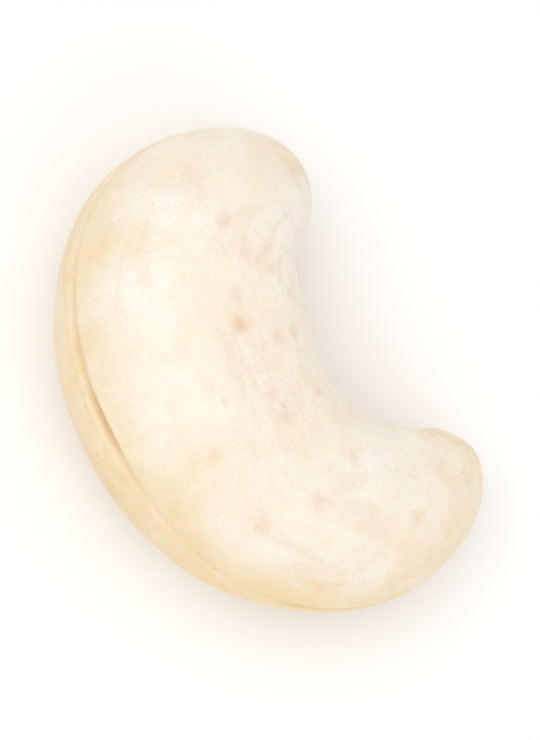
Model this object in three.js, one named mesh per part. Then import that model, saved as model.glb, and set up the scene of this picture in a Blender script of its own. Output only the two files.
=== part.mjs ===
// A whole cashew kernel as it lies on a table, in millimetres, +Z up.
// The bend runs along X with the fat lobe at +X, the back of the bend faces +Y and its mouth -Y.
// The origin is under the middle of the kernel, on the surface that it lies on.
// It grew as one piece, so it is one closed solid: its two seed halves show only as the seam round it.
import * as THREE from "three";
import { mergeVertices } from "three/addons/utils/BufferGeometryUtils.js";

// The limb's middle line is an arc, a little flatter than a circle, about a centre in the mouth
const bendRadius = 8.2;
const bendSquash = 0.88; // height of the arc as a share of a circle's
const bendSweep = 234.5; // degrees from tip to tip
const bendMiddle = 92.8; // degrees from +X to the middle of the back
const slimCurl = 0.3; // how far each tip curls in from the arc
const fatCurl = 2;
const curlPower = 5; // keeps the curl to the last of each lobe
const slimTurn = 0.05; // share by which the section at each tip turns further than the arc
const fatTurn = 0.2;
const slimLift = 0.5; // the lobes are twisted apart, one up and one down
const fatLift = -0.3;

// The limb's section, back to mouth and flank to flank, at the middle of the bend
const breadth = 12.1;
const thickness = 11.5;
const breadthGrowth = 0.12; // share by which the fat lobe gains and the slim lobe loses
const thicknessGrowth = 0.2;

// Powers of the rounded outlines: 2 is an ellipse, and more is fuller
const slimTipRound = 2.6;
const fatTipRound = 1.95;
const slimFlankRound = 2.6;
const fatFlankRound = 2.4;
const backRound = 2.1;
const mouthRound = 2.5;

// The seam, where the two halves meet, runs round the back, over both tips and along the mouth
const seamRiseBack = 0.12; // radians that it stands above the middle of the back
const seamRiseMouth = 0.12;
const seamCrest = 0.18; // radians that it climbs further at one place along the back
const seamCrestPlace = -0.08; // along, as the swellings are placed
const seamCrestReach = 0.35;
const seamDepthBack = 0.13;
const seamDepthMouth = 0.32;
const seamWidthBack = 0.22;
const seamWidthMouth = 0.3;
const valleyDepth = 0.45; // of the broad valley that the seam lies in along the mouth
const valleyWidth = 1.15;
const seamLip = 0.04; // height of the soft lips beside the groove
const seamLipPlace = 2.2; // in groove widths from the seam
const seamLipWidth = 0.9; // in groove widths
const seamTipFade = 0.65; // share of its depth that it loses at the tips
const seamTipReach = 0.35; // how far from the tips, in the measure of the swellings
const seamWander = 0.035; // radians by which it strays to either side
const seamWaves = 6.5; // radians of wander for a half length of the limb
const seamWanderStart = 1; // radians of wander at the middle of the limb

// Local swellings and, with a negative height, hollows of the skin. along runs from -1 at the slim tip
// to 1 at the fat tip, round is in degrees from the back over the upper flank, spread is in the same
// measure as along, and height is in millimetres.
const swellings = [
  { along: 0.51, round: 0, spread: 0.5, height: 0.32 }, // shoulder of the fat lobe
  { along: 0.72, round: 0, spread: 0.25, height: -0.27 }, // flat beyond the shoulder
  { along: 0.95, round: 0, spread: 0.3, height: 0.1 }, // corner of the fat lobe's blunt end
  { along: -0.93, round: 0, spread: 0.3, height: 0.41 }, // outer corner of the slim lobe
  { along: -0.85, round: 180, spread: 0.3, height: -0.2 }, // and its inner corner, drawn in
  { along: -0.05, round: 180, spread: 1.0, height: -0.3 }, // hollow of the mouth
  { along: 0.5, round: 180, spread: 0.25, height: 0.15 }, // lobes where they leave the mouth
  { along: -0.35, round: 180, spread: 0.25, height: 0.1 },
  { along: -0.985, round: 180, spread: 0.12, height: 0.3 }, // tip of the embryo, in the seam
  { along: -0.22, round: 105, spread: 0.3, height: -0.12 }, // shallow flats of the upper flank
  { along: 0.35, round: 60, spread: 0.35, height: -0.1 },
  { along: -0.62, round: 75, spread: 0.3, height: 0.12 },
  { along: 0.15, round: 318, spread: 0.35, height: -0.15 }, // and of the lower flank, at the back
  { along: -0.55, round: 225, spread: 0.3, height: -0.12 },
];

// How it comes to rest on its flank
const layTilt = 11.7; // degrees that the back stands higher than the mouth
const layRoll = 4.6; // degrees that the slim lobe hangs lower than the fat one
const restDepth = 0.15; // how much of the lowest skin is flat against the table

// Mesh: quads round the limb and along it, drawn together towards the seam, where the groove is narrow
const quadsRound = 72;
const quadsAlong = 52;
const seamSqueeze = 0.6;
const mergeTolerance = 1e-5;

const radians = THREE.MathUtils.degToRad;
const lerp = THREE.MathUtils.lerp;

// A smooth bump that is 1 at 0 and fades within a few units
function bump(distance) {
  return Math.exp(-distance * distance);
}

// Width of a rounded outline, as a share of its full half width, at a place from -1 to 1
function fullness(along, power) {
  return Math.sqrt(Math.max(0, 1 - Math.abs(along) ** power));
}

// The point of the unit sphere at a place along the limb and round it
function spherePoint(along, round) {
  const ring = Math.sqrt(Math.max(0, 1 - along * along));
  return new THREE.Vector3(along, ring * Math.cos(round), ring * Math.sin(round));
}

// Height of the skin beside the seam and in its groove, at a distance from the seam in millimetres
function seamRelief(distance, place) {
  const towardsMouth = ((1 - place.y) / 2) ** 2;
  const width = lerp(seamWidthBack, seamWidthMouth, towardsMouth);
  const fromTip = Math.hypot(place.y, place.z);
  const fade = 1 - seamTipFade * bump(fromTip / seamTipReach);
  const depth = fade * lerp(seamDepthBack, seamDepthMouth, towardsMouth);
  const fromLip = (Math.abs(distance) - seamLipPlace * width) / (seamLipWidth * width);
  const valley = towardsMouth * valleyDepth * bump(distance / valleyWidth);
  return seamLip * bump(fromLip) - depth * bump(distance / width) - valley;
}

// Height of all the swellings together at a point of the unit sphere
function swelling(place) {
  let height = 0;
  for (const swell of swellings) {
    const middle = spherePoint(swell.along, radians(swell.round));
    height += swell.height * bump(place.distanceTo(middle) / swell.spread);
  }
  return height;
}

// One point of the skin: along from -1 to 1, turn in radians from the seam on the back
function skinPoint(along, turn) {
  const facesMouth = (1 - Math.cos(turn)) / 2;
  const fromSeam = turn - (seamSqueeze / 2) * Math.sin(2 * turn);
  const wander = seamWander * Math.sin(seamWaves * along + seamWanderStart);
  const crest = seamCrest * bump((along - seamCrestPlace) / seamCrestReach);
  const round = fromSeam + wander + lerp(seamRiseBack + crest, -seamRiseMouth, facesMouth);
  const share = (along + 1) / 2;

  const halfBreadth =
    (breadth / 2) *
    (1 + breadthGrowth * along) *
    fullness(along, lerp(slimTipRound, fatTipRound, share));
  const halfThickness =
    (thickness / 2) *
    (1 + thicknessGrowth * along) *
    fullness(along, lerp(slimFlankRound, fatFlankRound, share));
  const box = lerp(backRound, mouthRound, (1 - Math.cos(round)) / 2);
  const corner = (Math.abs(Math.cos(round)) ** box + Math.abs(Math.sin(round)) ** box) ** (-1 / box);

  const fat = along > 0;
  const angle = radians(bendMiddle - (along * bendSweep) / 2);
  const turned = 1 + (fat ? fatTurn : slimTurn) * along ** 4;
  const sectionAngle = radians(bendMiddle - ((along * bendSweep) / 2) * turned);
  const outward = new THREE.Vector3(Math.cos(sectionAngle), Math.sin(sectionAngle), 0);
  const onward = new THREE.Vector3(Math.sin(sectionAngle), -Math.cos(sectionAngle), 0);
  const upward = new THREE.Vector3(0, 0, 1);
  const radius = bendRadius - (fat ? fatCurl : slimCurl) * Math.abs(along) ** curlPower;
  const lift = (fat ? fatLift : slimLift) * Math.abs(along) ** 3;

  const place = spherePoint(along, round);
  const facing = new THREE.Vector3()
    .addScaledVector(onward, place.x)
    .addScaledVector(outward, place.y)
    .addScaledVector(upward, place.z);
  const distance = halfThickness * corner * Math.sin(fromSeam);
  const relief = seamRelief(distance, place) + swelling(place);

  return new THREE.Vector3(radius * Math.cos(angle), radius * bendSquash * Math.sin(angle), lift)
    .addScaledVector(outward, halfBreadth * corner * Math.cos(round))
    .addScaledVector(upward, halfThickness * corner * Math.sin(round))
    .addScaledVector(facing, relief);
}

// Lays the kernel on its flank, centres it over the origin and flattens what touches the table
function layDown(geometry) {
  geometry.rotateX(radians(layTilt));
  geometry.rotateY(-radians(layRoll));
  geometry.computeBoundingBox();
  const middle = geometry.boundingBox.getCenter(new THREE.Vector3());
  geometry.translate(-middle.x, -middle.y, -geometry.boundingBox.min.z - restDepth);
  const places = geometry.attributes.position;
  for (let i = 0; i < places.count; i++) {
    places.setZ(i, Math.max(0, places.getZ(i)));
  }
}

// The kernel starts as a closed sphere with its poles at the two tips
function kernelGeometry() {
  const sphere = new THREE.SphereGeometry(1, quadsRound, quadsAlong);
  sphere.deleteAttribute("normal");
  sphere.deleteAttribute("uv");
  const geometry = mergeVertices(sphere, mergeTolerance);
  const places = geometry.attributes.position;
  for (let i = 0; i < places.count; i++) {
    const turn = Math.atan2(places.getZ(i), -places.getX(i));
    const skin = skinPoint(THREE.MathUtils.clamp(places.getY(i), -1, 1), turn);
    places.setXYZ(i, skin.x, skin.y, skin.z);
  }
  layDown(geometry);
  geometry.computeVertexNormals();
  return geometry;
}

const kernelSkin = new THREE.MeshStandardMaterial({
  color: 0xf6e7cb,
  roughness: 0.6,
  metalness: 0,
});

const kernel = new THREE.Mesh(kernelGeometry(), kernelSkin);
kernel.name = "kernel";

const cashew = new THREE.Group();
cashew.name = "cashew";
cashew.add(kernel);

export default cashew;
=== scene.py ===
import math
import bpy
from mathutils import Matrix, Vector


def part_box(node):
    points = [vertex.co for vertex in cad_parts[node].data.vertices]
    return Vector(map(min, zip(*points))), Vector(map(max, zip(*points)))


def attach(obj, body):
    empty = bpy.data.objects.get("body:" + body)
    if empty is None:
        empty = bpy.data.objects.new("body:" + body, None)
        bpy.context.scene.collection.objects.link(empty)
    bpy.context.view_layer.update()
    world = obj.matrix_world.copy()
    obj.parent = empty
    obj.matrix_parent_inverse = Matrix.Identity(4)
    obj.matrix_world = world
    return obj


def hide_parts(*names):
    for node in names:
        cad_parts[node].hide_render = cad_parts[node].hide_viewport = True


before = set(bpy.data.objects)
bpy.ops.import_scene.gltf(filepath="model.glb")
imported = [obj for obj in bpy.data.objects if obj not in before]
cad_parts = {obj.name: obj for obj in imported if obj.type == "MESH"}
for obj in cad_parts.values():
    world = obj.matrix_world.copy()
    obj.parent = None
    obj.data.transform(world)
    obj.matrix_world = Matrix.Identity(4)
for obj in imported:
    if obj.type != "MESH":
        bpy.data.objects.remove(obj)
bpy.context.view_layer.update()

millimetre = 0.001  # in metres
metre = 1000  # in millimetres


def linearColour(hexColour):
    # sRGB hex to the linear RGBA that the shader works in
    parts = [int(hexColour[i:i + 2], 16) / 255 for i in (1, 3, 5)]
    return [c / 12.92 if c <= 0.04045 else ((c + 0.055) / 1.055) ** 2.4 for c in parts] + [1.0]


def addNode(tree, kind, feeds=(), out=0, **settings):
    # adds a node, feeds its inputs in order or by name, with links or values, and gives back one output
    node = tree.nodes.new(kind)
    for name, value in settings.items():
        setattr(node, name, value)
    sockets = [s for s in node.inputs if s.enabled]
    pairs = feeds.items() if isinstance(feeds, dict) else enumerate(feeds)
    for key, feed in pairs:
        socket = node.inputs[key] if isinstance(key, str) else sockets[key]
        if isinstance(feed, bpy.types.NodeSocket):
            tree.links.new(feed, socket)
        elif feed is not None:
            socket.default_value = feed
    outputs = [s for s in node.outputs if s.enabled]
    return outputs[out] if outputs else node


def newGeometryTree(name, sizes):
    # a Geometry Nodes tree with one named float input for each size
    tree = bpy.data.node_groups.new(name, "GeometryNodeTree")
    tree.interface.new_socket("Geometry", in_out="INPUT", socket_type="NodeSocketGeometry")
    tree.interface.new_socket("Geometry", in_out="OUTPUT", socket_type="NodeSocketGeometry")
    for label, value in sizes.items():
        socket = tree.interface.new_socket(label, in_out="INPUT", socket_type="NodeSocketFloat")
        socket.default_value = value
    entry = tree.nodes.new("NodeGroupInput")
    return tree, entry.outputs


def closeGeometryTree(tree, geometry, material):
    smooth = addNode(tree, "GeometryNodeSetShadeSmooth", [geometry])
    real = addNode(tree, "GeometryNodeRealizeInstances", [smooth])
    dressed = addNode(tree, "GeometryNodeSetMaterial", [real, None, material])
    groupOutput = tree.nodes.new("NodeGroupOutput")
    tree.links.new(dressed, groupOutput.inputs[0])


def addTree(piece, tree, sizes):
    # puts the tree on the piece and sets its inputs by identifier
    modifier = piece.modifiers.new(tree.name, "NODES")
    modifier.node_group = tree
    for item in tree.interface.items_tree:
        if item.in_out == "INPUT" and item.name in sizes:
            modifier[item.identifier] = float(sizes[item.name])


def addBump(tree, distance, width):
    # exp(-(distance / width)^2): 1 at the middle, and as good as nothing from a few widths away
    share = addNode(tree, "ShaderNodeMath", [distance, width], operation="DIVIDE")
    square = addNode(tree, "ShaderNodeMath", [share, share], operation="MULTIPLY")
    minus = addNode(tree, "ShaderNodeMath", [square, -1.0], operation="MULTIPLY")
    return addNode(tree, "ShaderNodeMath", [minus], operation="EXPONENT")


# The kernel's own form, by the same rule as the frame's solid. Lengths are in millimetres.

formSizes = {
    "Bend radius": 8.2,
    "Bend squash": 0.88,
    "Bend sweep": math.radians(234.5),
    "Bend middle": math.radians(92.8),
    "Slim curl": 0.3,
    "Fat curl": 2.0,
    "Curl power": 5.0,
    "Slim turn": 0.05,
    "Fat turn": 0.2,
    "Slim lift": 0.5,
    "Fat lift": -0.3,
    "Breadth": 12.1,
    "Thickness": 11.5,
    "Breadth growth": 0.12,
    "Thickness growth": 0.2,
    "Slim tip round": 2.6,
    "Fat tip round": 1.95,
    "Slim flank round": 2.6,
    "Fat flank round": 2.4,
    "Back round": 2.1,
    "Mouth round": 2.5,
    "Seam rise back": 0.12,
    "Seam rise mouth": 0.12,
    "Seam depth back": 0.13,
    "Seam depth mouth": 0.32,
    "Seam width back": 0.22,
    "Seam width mouth": 0.3,
    "Valley depth": 0.45,
    "Valley width": 1.15,
    "Seam lip": 0.04,
    "Seam lip place": 2.2,
    "Seam lip width": 0.9,
    "Seam tip fade": 0.65,
    "Seam tip reach": 0.35,
    "Seam wander": 0.035,
    "Seam waves": 6.5,
    "Seam wander start": 1.0,
    "Seam crest": 0.18,
    "Seam crest place": -0.08,
    "Seam crest reach": 0.35,
    "Seam squeeze": 0.6,
    "Lay tilt": math.radians(11.7),
    "Lay roll": math.radians(4.6),
    "Rest depth": 0.15,
}

# along is -1 at the slim tip and 1 at the fat one. round is in degrees, from the back over the upper
# flank. spread is how far the swelling reaches on a unit sphere, and height is in millimetres.
swellings = [
    {"along": 0.51, "round": 0, "spread": 0.5, "height": 0.32},  # shoulder of the fat lobe
    {"along": 0.72, "round": 0, "spread": 0.25, "height": -0.27},  # flat beyond the shoulder
    {"along": 0.95, "round": 0, "spread": 0.3, "height": 0.1},  # corner of the fat lobe's blunt end
    {"along": -0.93, "round": 0, "spread": 0.3, "height": 0.41},  # outer corner of the slim lobe
    {"along": -0.85, "round": 180, "spread": 0.3, "height": -0.2},  # and its inner corner, drawn in
    {"along": -0.05, "round": 180, "spread": 1.0, "height": -0.3},  # hollow of the mouth
    {"along": 0.5, "round": 180, "spread": 0.25, "height": 0.15},  # lobes where they leave the mouth
    {"along": -0.35, "round": 180, "spread": 0.25, "height": 0.1},
    {"along": -0.985, "round": 180, "spread": 0.12, "height": 0.3},  # tip of the embryo, in the seam
    {"along": -0.22, "round": 105, "spread": 0.3, "height": -0.12},  # shallow flats of the upper flank
    {"along": 0.35, "round": 60, "spread": 0.35, "height": -0.1},
    {"along": -0.62, "round": 75, "spread": 0.3, "height": 0.12},  # a rise on it
    {"along": 0.15, "round": 318, "spread": 0.35, "height": -0.15},  # shallow flats of the lower flank
    {"along": -0.55, "round": 225, "spread": 0.3, "height": -0.12},
]

# 195,000 triangles, twice the segments times the rings less one, because a piece stays under 200,000
formMesh = {"segments": 300, "rings": 326}


def addFullness(tree, absAlong, power):
    # half width of a rounded outline, as a share of its full half width
    raised = addNode(tree, "ShaderNodeMath", [absAlong, power], operation="POWER")
    left = addNode(tree, "ShaderNodeMath", [1.0, raised], operation="SUBTRACT", use_clamp=True)
    return addNode(tree, "ShaderNodeMath", [left], operation="SQRT")


def addSeamRelief(tree, size, distance, placeY, ring):
    # the groove where the two halves meet, with a soft lip to either side, alone and with the mouth's valley
    fromBack = addNode(tree, "ShaderNodeMath", [1.0, placeY], operation="SUBTRACT")
    halfway = addNode(tree, "ShaderNodeMath", [fromBack, 0.5], operation="MULTIPLY")
    towardsMouth = addNode(tree, "ShaderNodeMath", [halfway, halfway], operation="MULTIPLY")
    width = addNode(tree, "ShaderNodeMix", [towardsMouth, size["Seam width back"], size["Seam width mouth"]])
    fullDepth = addNode(
        tree, "ShaderNodeMix", [towardsMouth, size["Seam depth back"], size["Seam depth mouth"]]
    )
    nearTip = addBump(tree, ring, size["Seam tip reach"])
    lost = addNode(tree, "ShaderNodeMath", [nearTip, size["Seam tip fade"]], operation="MULTIPLY")
    fade = addNode(tree, "ShaderNodeMath", [1.0, lost], operation="SUBTRACT")
    depth = addNode(tree, "ShaderNodeMath", [fullDepth, fade], operation="MULTIPLY")
    groove = addNode(tree, "ShaderNodeMath", [addBump(tree, distance, width), depth], operation="MULTIPLY")
    away = addNode(tree, "ShaderNodeMath", [distance], operation="ABSOLUTE")
    lipPlace = addNode(tree, "ShaderNodeMath", [width, size["Seam lip place"]], operation="MULTIPLY")
    lipWidth = addNode(tree, "ShaderNodeMath", [width, size["Seam lip width"]], operation="MULTIPLY")
    fromLip = addNode(tree, "ShaderNodeMath", [away, lipPlace], operation="SUBTRACT")
    lipBump = addBump(tree, fromLip, lipWidth)
    lip = addNode(tree, "ShaderNodeMath", [lipBump, size["Seam lip"]], operation="MULTIPLY")
    valleyFull = addNode(tree, "ShaderNodeMath", [towardsMouth, size["Valley depth"]], operation="MULTIPLY")
    valleyShape = addBump(tree, distance, size["Valley width"])
    valley = addNode(tree, "ShaderNodeMath", [valleyShape, valleyFull], operation="MULTIPLY")
    grooveAndLip = addNode(tree, "ShaderNodeMath", [lip, groove], operation="SUBTRACT")
    return grooveAndLip, addNode(tree, "ShaderNodeMath", [grooveAndLip, valley], operation="SUBTRACT")


def addSwellings(tree, place):
    height = None
    for swell in swellings:
        ring = math.sqrt(1 - swell["along"] ** 2)
        turn = math.radians(swell["round"])
        middle = (swell["along"], ring * math.cos(turn), ring * math.sin(turn))
        gap = addNode(tree, "ShaderNodeVectorMath", [place, middle], operation="DISTANCE")
        shape = addBump(tree, gap, swell["spread"])
        height = addNode(
            tree, "ShaderNodeMath", [shape, swell["height"], height or 0.0], operation="MULTIPLY_ADD"
        )
    return height


def formTree(material):
    tree, size = newGeometryTree("Kernel form", formSizes)
    ball = addNode(tree, "GeometryNodeMeshUVSphere", [formMesh["segments"], formMesh["rings"], 1.0])
    position = addNode(tree, "GeometryNodeInputPosition")
    x = addNode(tree, "ShaderNodeSeparateXYZ", [position])
    y = x.node.outputs[1]
    along = x.node.outputs[2]
    turn = addNode(tree, "ShaderNodeMath", [y, x], operation="ARCTAN2")

    # turn round the limb, drawn together towards the seam, which stands a little above the middle
    cosTurn = addNode(tree, "ShaderNodeMath", [turn], operation="COSINE")
    facesBack = addNode(tree, "ShaderNodeMath", [cosTurn, 0.5, 0.5], operation="MULTIPLY_ADD")
    doubled = addNode(tree, "ShaderNodeMath", [turn, 2.0], operation="MULTIPLY")
    sinDoubled = addNode(tree, "ShaderNodeMath", [doubled], operation="SINE")
    halfSqueeze = addNode(tree, "ShaderNodeMath", [size["Seam squeeze"], -0.5], operation="MULTIPLY")
    fromSeam = addNode(tree, "ShaderNodeMath", [sinDoubled, halfSqueeze, turn], operation="MULTIPLY_ADD")
    waveSizes = [along, size["Seam waves"], size["Seam wander start"]]
    wave = addNode(tree, "ShaderNodeMath", waveSizes, operation="MULTIPLY_ADD")
    sinWave = addNode(tree, "ShaderNodeMath", [wave], operation="SINE")
    wandered = addNode(
        tree, "ShaderNodeMath", [sinWave, size["Seam wander"], fromSeam], operation="MULTIPLY_ADD"
    )
    fromCrest = addNode(tree, "ShaderNodeMath", [along, size["Seam crest place"]], operation="SUBTRACT")
    crestShape = addBump(tree, fromCrest, size["Seam crest reach"])
    crestSizes = [crestShape, size["Seam crest"], size["Seam rise back"]]
    riseBack = addNode(tree, "ShaderNodeMath", crestSizes, operation="MULTIPLY_ADD")
    dropMouth = addNode(tree, "ShaderNodeMath", [size["Seam rise mouth"], -1.0], operation="MULTIPLY")
    rise = addNode(tree, "ShaderNodeMix", [facesBack, dropMouth, riseBack])
    roundLimb = addNode(tree, "ShaderNodeMath", [wandered, rise], operation="ADD")
    cosRound = addNode(tree, "ShaderNodeMath", [roundLimb], operation="COSINE")
    sinRound = addNode(tree, "ShaderNodeMath", [roundLimb], operation="SINE")

    # half breadth and half thickness along the limb
    share = addNode(tree, "ShaderNodeMath", [along, 0.5, 0.5], operation="MULTIPLY_ADD")
    absAlong = addNode(tree, "ShaderNodeMath", [along], operation="ABSOLUTE")
    halves = []
    for full, growth, slimEnd, fatEnd in (
        ("Breadth", "Breadth growth", "Slim tip round", "Fat tip round"),
        ("Thickness", "Thickness growth", "Slim flank round", "Fat flank round"),
    ):
        power = addNode(tree, "ShaderNodeMix", [share, size[slimEnd], size[fatEnd]])
        grown = addNode(tree, "ShaderNodeMath", [along, size[growth], 1.0], operation="MULTIPLY_ADD")
        half = addNode(tree, "ShaderNodeMath", [size[full], 0.5], operation="MULTIPLY")
        plain = addNode(tree, "ShaderNodeMath", [half, grown], operation="MULTIPLY")
        fullness = addFullness(tree, absAlong, power)
        halves.append(addNode(tree, "ShaderNodeMath", [plain, fullness], operation="MULTIPLY"))

    # the section is a little fuller than an ellipse, more so towards the mouth
    facesMouth = addNode(tree, "ShaderNodeMath", [cosRound, -0.5, 0.5], operation="MULTIPLY_ADD")
    box = addNode(tree, "ShaderNodeMix", [facesMouth, size["Back round"], size["Mouth round"]])
    absCos = addNode(tree, "ShaderNodeMath", [cosRound], operation="ABSOLUTE")
    absSin = addNode(tree, "ShaderNodeMath", [sinRound], operation="ABSOLUTE")
    cosPower = addNode(tree, "ShaderNodeMath", [absCos, box], operation="POWER")
    sinPower = addNode(tree, "ShaderNodeMath", [absSin, box], operation="POWER")
    powers = addNode(tree, "ShaderNodeMath", [cosPower, sinPower], operation="ADD")
    minusOver = addNode(tree, "ShaderNodeMath", [-1.0, box], operation="DIVIDE")
    corner = addNode(tree, "ShaderNodeMath", [powers, minusOver], operation="POWER")
    outReach = addNode(tree, "ShaderNodeMath", [halves[0], corner], operation="MULTIPLY")
    upReach = addNode(tree, "ShaderNodeMath", [halves[1], corner], operation="MULTIPLY")
    outWay = addNode(tree, "ShaderNodeMath", [outReach, cosRound], operation="MULTIPLY")
    upWay = addNode(tree, "ShaderNodeMath", [upReach, sinRound], operation="MULTIPLY")

    # the arc of the limb's middle line
    fat = addNode(tree, "FunctionNodeCompare", [along, 0.0], data_type="FLOAT", operation="GREATER_THAN")
    halfSweep = addNode(tree, "ShaderNodeMath", [size["Bend sweep"], -0.5], operation="MULTIPLY")
    swept = addNode(tree, "ShaderNodeMath", [along, halfSweep], operation="MULTIPLY")
    angle = addNode(tree, "ShaderNodeMath", [swept, size["Bend middle"]], operation="ADD")
    extra = addNode(
        tree, "GeometryNodeSwitch", [fat, size["Slim turn"], size["Fat turn"]], input_type="FLOAT"
    )
    fourth = addNode(tree, "ShaderNodeMath", [absAlong, 4.0], operation="POWER")
    turned = addNode(tree, "ShaderNodeMath", [extra, fourth, 1.0], operation="MULTIPLY_ADD")
    sectionAngle = addNode(
        tree, "ShaderNodeMath", [swept, turned, size["Bend middle"]], operation="MULTIPLY_ADD"
    )
    curl = addNode(
        tree, "GeometryNodeSwitch", [fat, size["Slim curl"], size["Fat curl"]], input_type="FLOAT"
    )
    curlShare = addNode(tree, "ShaderNodeMath", [absAlong, size["Curl power"]], operation="POWER")
    curled = addNode(tree, "ShaderNodeMath", [curl, curlShare], operation="MULTIPLY")
    radius = addNode(tree, "ShaderNodeMath", [size["Bend radius"], curled], operation="SUBTRACT")
    liftEnd = addNode(
        tree, "GeometryNodeSwitch", [fat, size["Slim lift"], size["Fat lift"]], input_type="FLOAT"
    )
    third = addNode(tree, "ShaderNodeMath", [absAlong, 3.0], operation="POWER")
    lift = addNode(tree, "ShaderNodeMath", [liftEnd, third], operation="MULTIPLY")
    cosAngle = addNode(tree, "ShaderNodeMath", [angle], operation="COSINE")
    sinAngle = addNode(tree, "ShaderNodeMath", [angle], operation="SINE")
    squashed = addNode(tree, "ShaderNodeMath", [radius, size["Bend squash"]], operation="MULTIPLY")
    middleX = addNode(tree, "ShaderNodeMath", [radius, cosAngle], operation="MULTIPLY")
    middleY = addNode(tree, "ShaderNodeMath", [squashed, sinAngle], operation="MULTIPLY")
    middle = addNode(tree, "ShaderNodeCombineXYZ", [middleX, middleY, lift])

    # the section's own directions
    cosSection = addNode(tree, "ShaderNodeMath", [sectionAngle], operation="COSINE")
    sinSection = addNode(tree, "ShaderNodeMath", [sectionAngle], operation="SINE")
    minusCos = addNode(tree, "ShaderNodeMath", [cosSection, -1.0], operation="MULTIPLY")
    outward = addNode(tree, "ShaderNodeCombineXYZ", [cosSection, sinSection, 0.0])
    onward = addNode(tree, "ShaderNodeCombineXYZ", [sinSection, minusCos, 0.0])

    # the same point on a unit sphere, which the swellings are measured on
    alongSquare = addNode(tree, "ShaderNodeMath", [along, along], operation="MULTIPLY")
    ringSquare = addNode(tree, "ShaderNodeMath", [1.0, alongSquare], operation="SUBTRACT", use_clamp=True)
    ring = addNode(tree, "ShaderNodeMath", [ringSquare], operation="SQRT")
    placeY = addNode(tree, "ShaderNodeMath", [ring, cosRound], operation="MULTIPLY")
    placeZ = addNode(tree, "ShaderNodeMath", [ring, sinRound], operation="MULTIPLY")
    place = addNode(tree, "ShaderNodeCombineXYZ", [along, placeY, placeZ])

    sinSeam = addNode(tree, "ShaderNodeMath", [fromSeam], operation="SINE")
    distance = addNode(tree, "ShaderNodeMath", [upReach, sinSeam], operation="MULTIPLY")
    seam, seamAndValley = addSeamRelief(tree, size, distance, placeY, ring)
    relief = addNode(tree, "ShaderNodeMath", [seamAndValley, addSwellings(tree, place)], operation="ADD")

    facingUp = addNode(tree, "ShaderNodeCombineXYZ", [0.0, 0.0, placeZ])
    facingOn = addNode(tree, "ShaderNodeVectorMath", [onward, along], operation="SCALE")
    facingOut = addNode(tree, "ShaderNodeVectorMath", [outward, placeY], operation="SCALE")
    facingFlat = addNode(tree, "ShaderNodeVectorMath", [facingOn, facingOut], operation="ADD")
    facing = addNode(tree, "ShaderNodeVectorMath", [facingFlat, facingUp], operation="ADD")
    raised = addNode(tree, "ShaderNodeVectorMath", [facing, relief], operation="SCALE")
    outStep = addNode(tree, "ShaderNodeVectorMath", [outward, outWay], operation="SCALE")
    upStep = addNode(tree, "ShaderNodeCombineXYZ", [0.0, 0.0, upWay])
    section = addNode(tree, "ShaderNodeVectorMath", [outStep, upStep], operation="ADD")
    bare = addNode(tree, "ShaderNodeVectorMath", [middle, section], operation="ADD")
    skin = addNode(tree, "ShaderNodeVectorMath", [bare, raised], operation="ADD")

    # what the skin and the material read: the place on the unit sphere, the seam, and the straightened limb
    halfArc = addNode(tree, "ShaderNodeMath", [size["Bend radius"], halfSweep], operation="MULTIPLY")
    arcPlace = addNode(tree, "ShaderNodeMath", [halfArc, along], operation="MULTIPLY")
    straight = addNode(tree, "ShaderNodeCombineXYZ", [arcPlace, outWay, upWay])
    kept = ball
    for name, kind, value in (
        ("place", "FLOAT_VECTOR", place),
        ("straight", "FLOAT_VECTOR", straight),
        ("fromSeam", "FLOAT", distance),
        ("seamRelief", "FLOAT", seam),
    ):
        kept = addNode(
            tree, "GeometryNodeStoreNamedAttribute", [kept, None, name, value], data_type=kind, domain="POINT"
        )

    shaped = addNode(tree, "GeometryNodeSetPosition", [kept, None, skin])
    minusRoll = addNode(tree, "ShaderNodeMath", [size["Lay roll"], -1.0], operation="MULTIPLY")
    laid = addNode(tree, "ShaderNodeCombineXYZ", [size["Lay tilt"], minusRoll, 0.0])
    tilted = addNode(tree, "GeometryNodeTransform", [shaped, None, laid])
    lowCorner = addNode(tree, "GeometryNodeBoundBox", [tilted], out=1)
    highCorner = lowCorner.node.outputs["Max"]
    bothCorners = addNode(tree, "ShaderNodeVectorMath", [lowCorner, highCorner], operation="ADD")
    centre = addNode(tree, "ShaderNodeVectorMath", [bothCorners, (-0.5, -0.5, 0.0)], operation="MULTIPLY")
    lowZ = addNode(tree, "ShaderNodeSeparateXYZ", [lowCorner], out=2)
    sink = addNode(tree, "ShaderNodeMath", [lowZ, size["Rest depth"]], operation="ADD")
    minusSink = addNode(tree, "ShaderNodeMath", [sink, -1.0], operation="MULTIPLY")
    drop = addNode(tree, "ShaderNodeCombineXYZ", [0.0, 0.0, minusSink])
    shift = addNode(tree, "ShaderNodeVectorMath", [centre, drop], operation="ADD")
    moved = addNode(tree, "GeometryNodeSetPosition", [tilted, None, None, shift])
    closeGeometryTree(tree, moved, material)
    return tree


# The skin on that form: dents, ripples that run along the limb, creases, puckers at the mouth and pits

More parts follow.
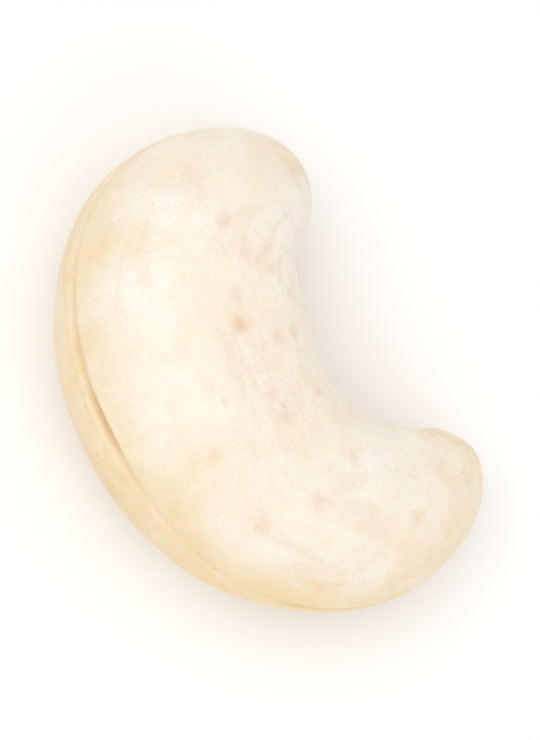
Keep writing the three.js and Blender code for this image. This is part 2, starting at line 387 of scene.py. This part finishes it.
skinSizes = {
    "Dent size": 5.5,
    "Dent height": 0.2,
    "Ripple size": 1.9,
    "Ripple stretch": 3.5,
    "Ripple height": 0.11,
    "Crease size": 2.4,
    "Crease stretch": 5.0,
    "Crease width": 0.05,
    "Crease depth": 0.06,
    "Pucker size": 1.1,
    "Pucker reach": 2.2,
    "Pucker height": 0.09,
    "Pit spacing": 1.5,
    "Pit radius": 0.2,
    "Pit depth": 0.05,
    "Seam break": 4.5,
    "Seam fill": 0.7,
    "Seam open place": 0.1,
    "Seam open reach": 0.075,
    "Seam open depth": 0.5,
    "Ridge place": 0.32,
    "Ridge width": 0.18,
    "Ridge height": 0.045,
    "Second line place": 0.62,
    "Second line width": 0.14,
    "Second line depth": 0.05,
    "Seed": 7.0,
}

# How its patterns are cut. Each noise has a detail and a roughness. Each of the last five turns what it
# reads, from and to, into a share, from and to. The flush one goes up to the size named Seam fill.
skinPattern = {
    "dentNoise": (1.0, 0.4),
    "rippleNoise": (1.0, 0.5),
    "creaseNoise": (2.0, 0.5),
    "patchNoise": (1.0, 0.5),
    "puckerNoise": (2.0, 0.5),
    "breakNoise": (2.0, 0.5),
    "creaseSeedStep": 11.0,
    "patchSeedStep": 23.0,
    "puckerStretch": (1.0, 0.3, 0.35),
    "pitLeast": 0.66,  # the share of the cells that have no pit
    "fineShadeShare": 0.45,  # how much of the ripples' height counts as depth for the painted shade
    "patches": (0.46, 0.6, 0.0, 1.0),
    "inMouth": (-0.35, -0.9, 0.0, 1.0),
    "onBack": (-0.2, 0.5, 0.0, 1.0),
    "flush": (0.42, 0.58, 0.15),
    "lineSome": (0.42, 0.58, 1.0, 0.2),
}


def skinTree(material):
    tree, size = newGeometryTree("Kernel skin", skinSizes)
    position = addNode(tree, "GeometryNodeInputPosition")
    straight = addNode(tree, "GeometryNodeInputNamedAttribute", ["straight"], data_type="FLOAT_VECTOR")
    place = addNode(tree, "GeometryNodeInputNamedAttribute", ["place"], data_type="FLOAT_VECTOR")
    fromSeam = addNode(tree, "GeometryNodeInputNamedAttribute", ["fromSeam"], data_type="FLOAT")
    seamRelief = addNode(tree, "GeometryNodeInputNamedAttribute", ["seamRelief"], data_type="FLOAT")

    # broad soft dents, from the skin that once pressed on it
    dentScale = addNode(tree, "ShaderNodeMath", [1.0, size["Dent size"]], operation="DIVIDE")
    dentFeeds = [position, size["Seed"], dentScale, *skinPattern["dentNoise"]]
    dentNoise = addNode(tree, "ShaderNodeTexNoise", dentFeeds, noise_dimensions="4D")
    dentShape = addNode(tree, "ShaderNodeMath", [dentNoise, -0.5], operation="ADD")
    dentHeight = addNode(tree, "ShaderNodeMath", [size["Dent height"], 2.0], operation="MULTIPLY")
    dents = addNode(tree, "ShaderNodeMath", [dentShape, dentHeight], operation="MULTIPLY")

    # ripples, drawn out along the limb
    overStretch = addNode(tree, "ShaderNodeMath", [1.0, size["Ripple stretch"]], operation="DIVIDE")
    rippleWay = addNode(tree, "ShaderNodeCombineXYZ", [overStretch, 1.0, 1.0])
    ripplePlace = addNode(tree, "ShaderNodeVectorMath", [straight, rippleWay], operation="MULTIPLY")
    rippleScale = addNode(tree, "ShaderNodeMath", [1.0, size["Ripple size"]], operation="DIVIDE")
    rippleFeeds = [ripplePlace, size["Seed"], rippleScale, *skinPattern["rippleNoise"]]
    rippleNoise = addNode(tree, "ShaderNodeTexNoise", rippleFeeds, noise_dimensions="4D")
    rippleShape = addNode(tree, "ShaderNodeMath", [rippleNoise, -0.5], operation="ADD")
    ripples = addNode(tree, "ShaderNodeMath", [rippleShape, size["Ripple height"]], operation="MULTIPLY")

    # fine creases where a second, stretched noise crosses its middle value, in patches only
    overCrease = addNode(tree, "ShaderNodeMath", [1.0, size["Crease stretch"]], operation="DIVIDE")
    creaseWay = addNode(tree, "ShaderNodeCombineXYZ", [overCrease, 1.0, 1.0])
    creasePlace = addNode(tree, "ShaderNodeVectorMath", [straight, creaseWay], operation="MULTIPLY")
    creaseScale = addNode(tree, "ShaderNodeMath", [1.0, size["Crease size"]], operation="DIVIDE")
    creaseSeed = addNode(
        tree, "ShaderNodeMath", [size["Seed"], skinPattern["creaseSeedStep"]], operation="ADD"
    )
    creaseFeeds = [creasePlace, creaseSeed, creaseScale, *skinPattern["creaseNoise"]]
    creaseNoise = addNode(tree, "ShaderNodeTexNoise", creaseFeeds, noise_dimensions="4D")
    fromMiddle = addNode(tree, "ShaderNodeMath", [creaseNoise, -0.5], operation="ADD")
    creaseLine = addBump(tree, fromMiddle, size["Crease width"])
    patchSeed = addNode(
        tree, "ShaderNodeMath", [size["Seed"], skinPattern["patchSeedStep"]], operation="ADD"
    )
    patchFeeds = [straight, patchSeed, dentScale, *skinPattern["patchNoise"]]
    patchNoise = addNode(tree, "ShaderNodeTexNoise", patchFeeds, noise_dimensions="4D")
    patches = addNode(
        tree, "ShaderNodeMapRange", [patchNoise, *skinPattern["patches"]], interpolation_type="SMOOTHSTEP"
    )
    creaseDepth = addNode(tree, "ShaderNodeMath", [patches, size["Crease depth"]], operation="MULTIPLY")
    creases = addNode(tree, "ShaderNodeMath", [creaseLine, creaseDepth], operation="MULTIPLY")

    # puckers across the lips of the mouth
    away = addNode(tree, "ShaderNodeMath", [fromSeam], operation="ABSOLUTE")
    nearSeam = addBump(tree, away, size["Pucker reach"])
    placeY = addNode(tree, "ShaderNodeSeparateXYZ", [place], out=1)
    inMouth = addNode(
        tree, "ShaderNodeMapRange", [placeY, *skinPattern["inMouth"]], interpolation_type="SMOOTHSTEP"
    )
    puckerMask = addNode(tree, "ShaderNodeMath", [nearSeam, inMouth], operation="MULTIPLY")
    puckerWay = addNode(
        tree, "ShaderNodeVectorMath", [straight, skinPattern["puckerStretch"]], operation="MULTIPLY"
    )
    puckerScale = addNode(tree, "ShaderNodeMath", [1.0, size["Pucker size"]], operation="DIVIDE")
    puckerFeeds = [puckerWay, creaseSeed, puckerScale, *skinPattern["puckerNoise"]]
    puckerNoise = addNode(tree, "ShaderNodeTexNoise", puckerFeeds, noise_dimensions="4D")
    puckerShape = addNode(tree, "ShaderNodeMath", [puckerNoise, -0.5], operation="ADD")
    puckerHeight = addNode(tree, "ShaderNodeMath", [puckerMask, size["Pucker height"]], operation="MULTIPLY")
    puckerFull = addNode(tree, "ShaderNodeMath", [puckerHeight, 2.0], operation="MULTIPLY")
    puckers = addNode(tree, "ShaderNodeMath", [puckerShape, puckerFull], operation="MULTIPLY")

    # small round pits, in about a third of the cells
    pitScale = addNode(tree, "ShaderNodeMath", [1.0, size["Pit spacing"]], operation="DIVIDE")
    pitGap = addNode(tree, "ShaderNodeTexVoronoi", [position, pitScale])
    pitCell = addNode(tree, "ShaderNodeSeparateXYZ", [pitGap.node.outputs["Color"]])
    pitSome = addNode(tree, "ShaderNodeMath", [pitCell, skinPattern["pitLeast"]], operation="GREATER_THAN")
    pitReach = addNode(tree, "ShaderNodeMath", [size["Pit radius"], pitScale], operation="MULTIPLY")
    pitShape = addBump(tree, pitGap, pitReach)
    pitFull = addNode(tree, "ShaderNodeMath", [pitSome, size["Pit depth"]], operation="MULTIPLY")
    pits = addNode(tree, "ShaderNodeMath", [pitShape, pitFull], operation="MULTIPLY")

    # the groove down the back comes and goes: here and there the halves have grown nearly flush
    breakScale = addNode(tree, "ShaderNodeMath", [1.0, size["Seam break"]], operation="DIVIDE")
    breakFeeds = [straight, patchSeed, breakScale, *skinPattern["breakNoise"]]
    breakNoise = addNode(tree, "ShaderNodeTexNoise", breakFeeds, noise_dimensions="4D")
    flushFeeds = [breakNoise, *skinPattern["flush"], size["Seam fill"]]
    flush = addNode(tree, "ShaderNodeMapRange", flushFeeds, interpolation_type="SMOOTHSTEP")
    onBack = addNode(
        tree, "ShaderNodeMapRange", [placeY, *skinPattern["onBack"]], interpolation_type="SMOOTHSTEP"
    )
    placeX = placeY.node.outputs[0]
    fromOpen = addNode(tree, "ShaderNodeMath", [placeX, size["Seam open place"]], operation="SUBTRACT")
    openShape = addBump(tree, fromOpen, size["Seam open reach"])
    shut = addNode(tree, "ShaderNodeMath", [1.0, openShape], operation="SUBTRACT")
    flushBack = addNode(tree, "ShaderNodeMath", [flush, onBack], operation="MULTIPLY")
    backFlush = addNode(tree, "ShaderNodeMath", [flushBack, shut], operation="MULTIPLY")
    openBack = addNode(tree, "ShaderNodeMath", [openShape, onBack], operation="MULTIPLY")
    deeper = addNode(tree, "ShaderNodeMath", [openBack, size["Seam open depth"]], operation="MULTIPLY")
    fillShare = addNode(tree, "ShaderNodeMath", [backFlush, deeper], operation="SUBTRACT")
    filled = addNode(tree, "ShaderNodeMath", [fillShare, seamRelief], operation="MULTIPLY")
    openSeam = addNode(tree, "ShaderNodeMath", [seamRelief, filled], operation="SUBTRACT")

    # below it on the back run a light ridge and a second faint line, where the lower half stands proud
    fromRidge = addNode(tree, "ShaderNodeMath", [fromSeam, size["Ridge place"]], operation="ADD")
    ridgeShape = addBump(tree, fromRidge, size["Ridge width"])
    ridgeFull = addNode(tree, "ShaderNodeMath", [onBack, size["Ridge height"]], operation="MULTIPLY")
    ridge = addNode(tree, "ShaderNodeMath", [ridgeShape, ridgeFull], operation="MULTIPLY")
    fromLine = addNode(tree, "ShaderNodeMath", [fromSeam, size["Second line place"]], operation="ADD")
    lineShape = addBump(tree, fromLine, size["Second line width"])
    lineSome = addNode(
        tree, "ShaderNodeMapRange", [breakNoise, *skinPattern["lineSome"]], interpolation_type="SMOOTHSTEP"
    )
    lineMask = addNode(tree, "ShaderNodeMath", [onBack, lineSome], operation="MULTIPLY")
    lineFull = addNode(tree, "ShaderNodeMath", [lineMask, size["Second line depth"]], operation="MULTIPLY")
    secondLine = addNode(tree, "ShaderNodeMath", [lineShape, lineFull], operation="MULTIPLY")

    creasesAndLine = addNode(tree, "ShaderNodeMath", [creases, secondLine], operation="ADD")
    hollows = addNode(tree, "ShaderNodeMath", [creasesAndLine, pits], operation="ADD")
    dentsAndRidge = addNode(tree, "ShaderNodeMath", [dents, ridge], operation="ADD")
    raised = addNode(tree, "ShaderNodeMath", [dentsAndRidge, ripples], operation="ADD")
    puckered = addNode(tree, "ShaderNodeMath", [raised, puckers], operation="ADD")
    lowered = addNode(tree, "ShaderNodeMath", [puckered, hollows], operation="SUBTRACT")
    height = addNode(tree, "ShaderNodeMath", [lowered, filled], operation="SUBTRACT")

    # how far each point lies below the plain skin, which the material darkens by as painted shade
    fine = addNode(
        tree, "ShaderNodeMath", [ripples, skinPattern["fineShadeShare"], puckers], operation="MULTIPLY_ADD"
    )
    fineHollow = addNode(tree, "ShaderNodeMath", [hollows, fine], operation="SUBTRACT")
    hollow = addNode(tree, "ShaderNodeMath", [fineHollow, openSeam], operation="SUBTRACT")
    # kept for the painted shade that the material draws in the hollows
    keptFeeds = [size["Geometry"], None, "hollow", hollow]
    kept = addNode(
        tree, "GeometryNodeStoreNamedAttribute", keptFeeds, data_type="FLOAT", domain="POINT"
    )
    normal = addNode(tree, "GeometryNodeInputNormal")
    step = addNode(tree, "ShaderNodeVectorMath", [normal, height], operation="SCALE")
    bumpy = addNode(tree, "GeometryNodeSetPosition", [kept, None, None, step])

    # nothing goes below the table, and the whole is brought from millimetres to metres
    after = addNode(tree, "GeometryNodeInputPosition")
    afterX = addNode(tree, "ShaderNodeSeparateXYZ", [after])
    afterY, afterZ = afterX.node.outputs[1], afterX.node.outputs[2]
    above = addNode(tree, "ShaderNodeMath", [afterZ, 0.0], operation="MAXIMUM")
    flat = addNode(tree, "ShaderNodeCombineXYZ", [afterX, afterY, above])
    rested = addNode(tree, "GeometryNodeSetPosition", [bumpy, None, flat])
    inMetres = addNode(tree, "GeometryNodeTransform", [rested, None, None, (millimetre,) * 3])
    closeGeometryTree(tree, inMetres, material)
    return tree


# Blanched cashew: dense, fatty seed tissue, with its brown skin peeled off. It gives the eye a milky
# ivory with a satin glow, light that soaks in a little at thin edges, yellow and chalky patches, fine
# specks and a fine grain. Sizes and heights are in millimetres.

skinLook = {
    "ivory": "#F7F0E6",
    "yellow": "#EFD397",
    "chalk": "#FBF5EC",
    "stain": "#E4CD9F",
    "tan": "#D9AE74",
    "speck": "#DDA566",
    "yellowSize": 5.0,
    "yellowRise": 0.2,  # how much lower the back's yellow ends at the fat tip than in the middle
    "yellowRagged": -0.4,  # how far the noise moves its edge
    "chalkSize": 1.7,
    "chalkCluster": 8.0,
    "mottleSize": 0.9,
    "speckSpacing": 1.6,
    "speckRadius": 0.34,
    "speckEdge": (1.4, 0.3),  # where a speck begins and where it is full, in radii
    "speckShake": 0.6,
    "grainSize": 0.22,
    "grainHeight": 0.08,
    "lineSize": 0.625,
    "lineStretch": (0.25, 1.0, 1.0),
    "lineHeight": 0.1,
    "refraction": 1.46,  # about that of the seed's own oil
    "seeThroughShare": 0.35,
    "seeThroughColour": (1.0, 0.62, 0.32),  # how far red, green and blue soak in, as shares of the depth
    "seeThroughDepth": 1.1,
}

# Each turns what the material reads, from and to, into a share of the colour or finish, from and to
skinShares = {
    "yellowCloud": (0.4, 0.68, 0.0, 0.32),
    "backShape": (0.6, -0.05, 0.0, 1.0),
    "backShare": (-0.4, 0.5, 0.2, 0.58),
    "lowFade": (-0.8, -0.2, 0.6, 1.0),
    "endFade": (0.4, 0.95, 1.0, 0.4),
    # painted shade: how much yellower the underside is drawn
    "shadeUnderneath": (0.45, -0.2, 0.0, 0.36),
    "chalkRagged": (0.46, 0.66, 0.0, 0.8),
    "cluster": (0.38, 0.62, 0.2, 0.7),
    "onTop": (-0.3, 0.5, 0.35, 1.0),
    "mottleShare": (0.45, 0.75, 0.0, 0.2),
    "grainShare": (0.48, 0.72, 0.0, 0.16),
    # how much painted shade the hollows take, by their depth
    "hollowShade": (0.02, 0.26, 0.0, 0.85),
    "speckSize": (0.0, 1.0, 0.45, 1.15),
    "speckSome": (0.35, 1.0, 0.0, 0.3),
    "speckSide": (0.75, 0.35, 0.25, 1.0),
    "onFlank": (0.0, 0.2, 0.0, 1.0),
    "roughness": (0.35, 0.65, 0.42, 0.6),
}

# Faint marks on the upper flank where the photograph shows them, in millimetres from the kernel's origin
marks = [
    {"x": 2.7, "y": 0.2, "radius": 0.48, "share": 0.34},
    {"x": 4.1, "y": -0.3, "radius": 0.36, "share": 0.22},
    {"x": 1.4, "y": -1.2, "radius": 0.32, "share": 0.22},
    {"x": -0.9, "y": 0.4, "radius": 0.4, "share": 0.2},
    {"x": -2.2, "y": 0.3, "radius": 0.45, "share": 0.19},
    {"x": -2.0, "y": 4.3, "radius": 0.45, "share": 0.2},
    {"x": 7.4, "y": -1.6, "radius": 0.45, "share": 0.16},
    {"x": 9.9, "y": -1.4, "radius": 0.55, "share": 0.14},
    {"x": -6.1, "y": 3.7, "radius": 0.45, "share": 0.26},
    {"x": -9.5, "y": -3.6, "radius": 0.34, "share": 0.28},
    {"x": -6.4, "y": 0.7, "radius": 0.5, "share": 0.2},
    {"x": 0.5, "y": 0.5, "radius": 4.0, "share": 0.06},  # a broad stain in the middle
    {"x": -5.5, "y": 4.5, "radius": 2.5, "share": 0.05},  # and one towards the back
]


def perMetre(sizeInMillimetres):
    # noise and Voronoi scales count features to a metre
    return metre / sizeInMillimetres


def blanchedCashew():
    material = bpy.data.materials.new("blanchedCashew")
    material.use_nodes = True
    tree = material.node_tree
    shader = tree.nodes["Principled BSDF"]
    where = addNode(tree, "ShaderNodeTexCoord", out=3)
    place = addNode(tree, "ShaderNodeAttribute", out=1, attribute_name="place")
    hollow = addNode(tree, "ShaderNodeAttribute", out=2, attribute_name="hollow")
    straight = addNode(tree, "ShaderNodeAttribute", out=1, attribute_name="straight")

    # yellow in cloudy patches, which is the kernel's own tone; over the back, where it reaches higher on the
    # slim half, partly the kernel's own yellower tint and partly painted warm shade where the surface turns
    # away; and a little painted shade underneath, drawn yellower
    yellowFeeds = {"Vector": where, "Scale": perMetre(skinLook["yellowSize"]), "Detail": 3.0}
    yellowNoise = addNode(tree, "ShaderNodeTexNoise", yellowFeeds)
    yellowCloud = addNode(tree, "ShaderNodeMapRange", [yellowNoise, *skinShares["yellowCloud"]])
    placeX = addNode(tree, "ShaderNodeSeparateXYZ", [place])
    placeY, placeZ = placeX.node.outputs[1], placeX.node.outputs[2]
    level = addNode(
        tree, "ShaderNodeMath", [placeX, skinLook["yellowRise"], placeZ], operation="MULTIPLY_ADD"
    )
    ragged = addNode(
        tree, "ShaderNodeMath", [yellowNoise, skinLook["yellowRagged"], level], operation="MULTIPLY_ADD"
    )
    backShape = addNode(
        tree, "ShaderNodeMapRange", [ragged, *skinShares["backShape"]], interpolation_type="SMOOTHSTEP"
    )
    backShare = addNode(tree, "ShaderNodeMapRange", [placeY, *skinShares["backShare"]])
    lowFade = addNode(tree, "ShaderNodeMapRange", [level, *skinShares["lowFade"]])
    fromMiddle = addNode(tree, "ShaderNodeMath", [placeX], operation="ABSOLUTE")
    endFade = addNode(tree, "ShaderNodeMapRange", [fromMiddle, *skinShares["endFade"]])
    fade = addNode(tree, "ShaderNodeMath", [lowFade, endFade], operation="MULTIPLY")
    # over the back: partly the kernel's own yellower tint, partly painted warm shade where the surface turns
    # away
    backFull = addNode(tree, "ShaderNodeMath", [backShape, backShare], operation="MULTIPLY")
    backTintAndShade = addNode(tree, "ShaderNodeMath", [backFull, fade], operation="MULTIPLY")
    # painted shade: the underside drawn yellower
    shadeUnderneath = addNode(tree, "ShaderNodeMapRange", [placeZ, *skinShares["shadeUnderneath"]])
    sidesTintAndShade = addNode(tree, "ShaderNodeMath", [backTintAndShade, shadeUnderneath], operation="MAXIMUM")
    yellowShare = addNode(tree, "ShaderNodeMath", [yellowCloud, sidesTintAndShade], operation="ADD", use_clamp=True)
    base = addNode(
        tree, "ShaderNodeMix",
        [yellowShare, linearColour(skinLook["ivory"]), linearColour(skinLook["yellow"])], data_type="RGBA",
    )

    # chalky scurf, in small ragged patches on the flanks
    chalkNoise = addNode(
        tree, "ShaderNodeTexNoise",
        {"Vector": where, "Scale": perMetre(skinLook["chalkSize"]), "Detail": 6.0, "Roughness": 0.65},
    )
    chalkRagged = addNode(tree, "ShaderNodeMapRange", [chalkNoise, *skinShares["chalkRagged"]])
    clusterFeeds = {"Vector": where, "Scale": perMetre(skinLook["chalkCluster"]), "Detail": 1.0}
    clusterNoise = addNode(tree, "ShaderNodeTexNoise", clusterFeeds)
    cluster = addNode(tree, "ShaderNodeMapRange", [clusterNoise, *skinShares["cluster"]])
    onTop = addNode(tree, "ShaderNodeMapRange", [placeZ, *skinShares["onTop"]])
    clusterTop = addNode(tree, "ShaderNodeMath", [cluster, onTop], operation="MULTIPLY")
    chalkShare = addNode(tree, "ShaderNodeMath", [chalkRagged, clusterTop], operation="MULTIPLY")
    chalked = addNode(
        tree, "ShaderNodeMix", [chalkShare, base, linearColour(skinLook["chalk"])], data_type="RGBA"
    )

    # faint rosy tan mottling, where traces of the peeled skin have stained the seed
    mottleNoise = addNode(
        tree, "ShaderNodeTexNoise",
        {"Vector": where, "Scale": perMetre(skinLook["mottleSize"]), "Detail": 4.0, "Roughness": 0.6},
    )
    mottleShare = addNode(tree, "ShaderNodeMapRange", [mottleNoise, *skinShares["mottleShare"]])
    mottled = addNode(
        tree, "ShaderNodeMix", [mottleShare, chalked, linearColour(skinLook["stain"])], data_type="RGBA"
    )

    # a fine grain, a little darker than the seed. The seed's cells are finer, and it is drawn as coarse
    # as it needs to show
    grainFeeds = {"Vector": where, "Scale": perMetre(skinLook["grainSize"]), "Detail": 3.0}
    grain = addNode(tree, "ShaderNodeTexNoise", grainFeeds)
    grainShare = addNode(tree, "ShaderNodeMapRange", [grain, *skinShares["grainShare"]])
    grained = addNode(
        tree, "ShaderNodeMix", [grainShare, mottled, linearColour(skinLook["stain"])], data_type="RGBA"
    )

    # tan by depth below the plain skin: painted shade in the creases, the pits and the low parts of the
    # ripples and puckers, and in the seam partly its own tan line and partly painted shade
    hollowShade = addNode(tree, "ShaderNodeMapRange", [hollow, *skinShares["hollowShade"]])
    hollowShaded = addNode(
        tree, "ShaderNodeMix", [hollowShade, grained, linearColour(skinLook["tan"])], data_type="RGBA"
    )

    # ragged rosy brown specks of the peeled skin, in about two thirds of the cells
    shakeFeeds = {"Vector": where, "Scale": perMetre(skinLook["speckShake"]), "Detail": 2.0}
    shakeNoise = addNode(tree, "ShaderNodeTexNoise", shakeFeeds, out=1)
    shakeMiddle = addNode(tree, "ShaderNodeVectorMath", [shakeNoise, (-0.5, -0.5, -0.5)], operation="ADD")
    shake = addNode(
        tree, "ShaderNodeVectorMath", [shakeMiddle, skinLook["speckShake"] * millimetre], operation="SCALE"
    )
    shaken = addNode(tree, "ShaderNodeVectorMath", [where, shake], operation="ADD")
    speckGap = addNode(
        tree, "ShaderNodeTexVoronoi", {"Vector": shaken, "Scale": perMetre(skinLook["speckSpacing"])}
    )
    speckCell = addNode(tree, "ShaderNodeSeparateXYZ", [speckGap.node.outputs["Color"]])
    reach = skinLook["speckRadius"] / skinLook["speckSpacing"]
    begins, isFull = [reach * radii for radii in skinLook["speckEdge"]]
    speckSize = addNode(tree, "ShaderNodeMapRange", [speckCell.node.outputs[1], *skinShares["speckSize"]])
    speckFar = addNode(tree, "ShaderNodeMath", [speckGap, speckSize], operation="DIVIDE")
    speckSpot = addNode(
        tree, "ShaderNodeMapRange", [speckFar, begins, isFull, 0.0, 1.0], interpolation_type="SMOOTHSTEP"
    )
    speckSome = addNode(tree, "ShaderNodeMapRange", [speckCell, *skinShares["speckSome"]])
    speckSide = addNode(tree, "ShaderNodeMapRange", [placeY, *skinShares["speckSide"]])
    speckPlain = addNode(tree, "ShaderNodeMath", [speckSpot, speckSome], operation="MULTIPLY")
    speckMasked = addNode(tree, "ShaderNodeMath", [speckPlain, speckSide], operation="MULTIPLY")

    # and the marks of the upper flank, with the same ragged edges
    flatPlace = addNode(tree, "ShaderNodeVectorMath", [shaken, (metre, metre, 0)], operation="MULTIPLY")
    markShare = 0.0
    for mark in marks:
        middle = (mark["x"], mark["y"], 0)
        gap = addNode(tree, "ShaderNodeVectorMath", [flatPlace, middle], operation="DISTANCE")
        shape = addBump(tree, gap, mark["radius"])
        markShare = addNode(
            tree, "ShaderNodeMath", [shape, mark["share"], markShare], operation="MULTIPLY_ADD"
        )
    onFlank = addNode(tree, "ShaderNodeMapRange", [placeZ, *skinShares["onFlank"]])
    markMasked = addNode(tree, "ShaderNodeMath", [markShare, onFlank], operation="MULTIPLY")
    speckShare = addNode(tree, "ShaderNodeMath", [speckMasked, markMasked], operation="ADD")
    colour = addNode(
        tree, "ShaderNodeMix", [speckShare, hollowShaded, linearColour(skinLook["speck"])], data_type="RGBA"
    )

    # the grain stands out a little too, with faint lines that run along the limb
    lineWay = addNode(
        tree, "ShaderNodeVectorMath", [straight, skinLook["lineStretch"]], operation="MULTIPLY"
    )
    lineFeeds = {"Vector": lineWay, "Scale": 1 / skinLook["lineSize"], "Detail": 4.0, "Roughness": 0.6}
    lines = addNode(tree, "ShaderNodeTexNoise", lineFeeds)
    grainDepth = skinLook["grainHeight"] * millimetre
    grainBump = addNode(
        tree, "ShaderNodeBump", {"Strength": 0.8, "Distance": grainDepth, "Height": grain}
    )
    lineDepth = skinLook["lineHeight"] * millimetre
    lineBump = addNode(
        tree, "ShaderNodeBump",
        {"Strength": 0.5, "Distance": lineDepth, "Height": lines, "Normal": grainBump},
    )

    # satin, and matt where it is chalky
    roughness = addNode(tree, "ShaderNodeMapRange", [chalkNoise, *skinShares["roughness"]])
    tree.links.new(colour, shader.inputs["Base Color"])
    tree.links.new(roughness, shader.inputs["Roughness"])
    tree.links.new(lineBump, shader.inputs["Normal"])
    shader.inputs["IOR"].default_value = skinLook["refraction"]
    shader.inputs["Subsurface Weight"].default_value = skinLook["seeThroughShare"]
    shader.inputs["Subsurface Radius"].default_value = skinLook["seeThroughColour"]
    shader.inputs["Subsurface Scale"].default_value = skinLook["seeThroughDepth"] * millimetre
    return material


def makeKernel():
    material = blanchedCashew()
    seedMesh = bpy.data.meshes.new("kernelSeed")
    draft = bpy.data.objects.new("kernelDraft", seedMesh)
    bpy.context.scene.collection.objects.link(draft)
    addTree(draft, formTree(material), formSizes)
    addTree(draft, skinTree(material), skinSizes)
    evaluated = draft.evaluated_get(bpy.context.evaluated_depsgraph_get())
    mesh = bpy.data.meshes.new_from_object(evaluated)
    mesh.name = "cashewKernel"
    kernel = bpy.data.objects.new("cashewKernel", mesh)
    bpy.context.scene.collection.objects.link(kernel)
    bpy.data.objects.remove(draft)
    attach(kernel, "root")
    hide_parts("kernel")
    print("kernel", len(mesh.vertices), "vertices", len(mesh.polygons), "faces")
    return kernel


# The photograph looks almost straight down on it, leaned a little towards its back, with the fat lobe up

cameraSizes = {
    "lean": 12.7,  # degrees from straight down, towards the back
    "turn": 29.0,  # degrees that the kernel's length is turned from the picture's vertical
    "lens": 300.0,
    "widthShare": 0.8,  # share of the picture's width that the kernel takes
    "pictureWidth": 540,
    "pictureHeight": 740,
}


def pictureAxes():
    lean = math.radians(cameraSizes["lean"])
    turn = math.radians(cameraSizes["turn"])
    along = Vector((1, 0, 0))
    across = Vector((0, math.cos(lean), -math.sin(lean)))
    up = along * math.cos(turn) - across * math.sin(turn)
    right = -along * math.sin(turn) - across * math.cos(turn)
    return right, up, right.cross(up)


def makeCamera(kernel):
    right, up, back = pictureAxes()
    points = [v.co for v in kernel.data.vertices]
    rights = [p.dot(right) for p in points]
    ups = [p.dot(up) for p in points]
    centre = right * (min(rights) + max(rights)) / 2 + up * (min(ups) + max(ups)) / 2
    centre += back * (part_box("kernel")[1].z / 2)
    data = bpy.data.cameras.new("photoCamera")
    data.lens = cameraSizes["lens"]
    camera = bpy.data.objects.new("photoCamera", data)
    bpy.context.scene.collection.objects.link(camera)
    bpy.context.scene.camera = camera
    shortSide = data.sensor_width * cameraSizes["pictureWidth"] / cameraSizes["pictureHeight"]
    seenWidth = (max(rights) - min(rights)) / cameraSizes["widthShare"]
    distance = seenWidth * data.lens / shortSide
    place = Matrix((right, up, back)).transposed().to_4x4()
    place.translation = centre + back * distance
    camera.matrix_world = place
    print("camera", round(distance, 3), "m away")


# A plain pale table and soft white light, strongest from overhead, a little from the picture's upper left.
# Sizes and distances are in metres. The ways count from the table towards the camera, then the
# picture's right, then its top.

studio = {
    "floorSize": 6.0,
    "floorColour": "#FAF9F8",
    "floorRoughness": 0.9,
    "worldColour": "#FFFFFF",
    "worldStrength": 0.74,
    "lightSize": 0.45,
    "lightDistance": 0.42,
    "keyPower": 0.66,
    "keyWay": (1.7, -0.15, 0.45),
    "fillPower": 0.26,
    "fillWay": (1.0, 0.5, -0.9),
}


def makeFloor():
    half = studio["floorSize"] / 2
    corners = [(-half, -half, 0), (half, -half, 0), (half, half, 0), (-half, half, 0)]
    mesh = bpy.data.meshes.new("table")
    mesh.from_pydata(corners, [], [(0, 1, 2, 3)])
    floor = bpy.data.objects.new("table", mesh)
    bpy.context.scene.collection.objects.link(floor)
    material = bpy.data.materials.new("mattPaper")
    material.use_nodes = True
    shader = material.node_tree.nodes["Principled BSDF"]
    shader.inputs["Base Color"].default_value = linearColour(studio["floorColour"])
    shader.inputs["Roughness"].default_value = studio["floorRoughness"]
    mesh.materials.append(material)
    print("table", studio["floorSize"], "m wide")


def makeSoftLight(name, axes):
    data = bpy.data.lights.new(name, "AREA")
    data.shape = "DISK"
    data.size = studio["lightSize"]
    data.energy = studio[name + "Power"]
    light = bpy.data.objects.new(name, data)
    bpy.context.scene.collection.objects.link(light)
    right, up, back = axes
    towardsCamera, towardsRight, towardsTop = studio[name + "Way"]
    way = (back * towardsCamera + right * towardsRight + up * towardsTop).normalized()
    light.location = way * studio["lightDistance"]
    light.rotation_euler = way.to_track_quat("Z", "Y").to_euler()
    print(name, "light", studio[name + "Power"], "W")


def makeLight():
    world = bpy.data.worlds.new("studio")
    world.use_nodes = True
    background = world.node_tree.nodes["Background"]
    background.inputs["Color"].default_value = linearColour(studio["worldColour"])
    background.inputs["Strength"].default_value = studio["worldStrength"]
    bpy.context.scene.world = world
    for name in ("key", "fill"):
        makeSoftLight(name, pictureAxes())
    bpy.context.scene.view_settings.view_transform = "Standard"


kernel = makeKernel()
makeFloor()
makeCamera(kernel)
makeLight()
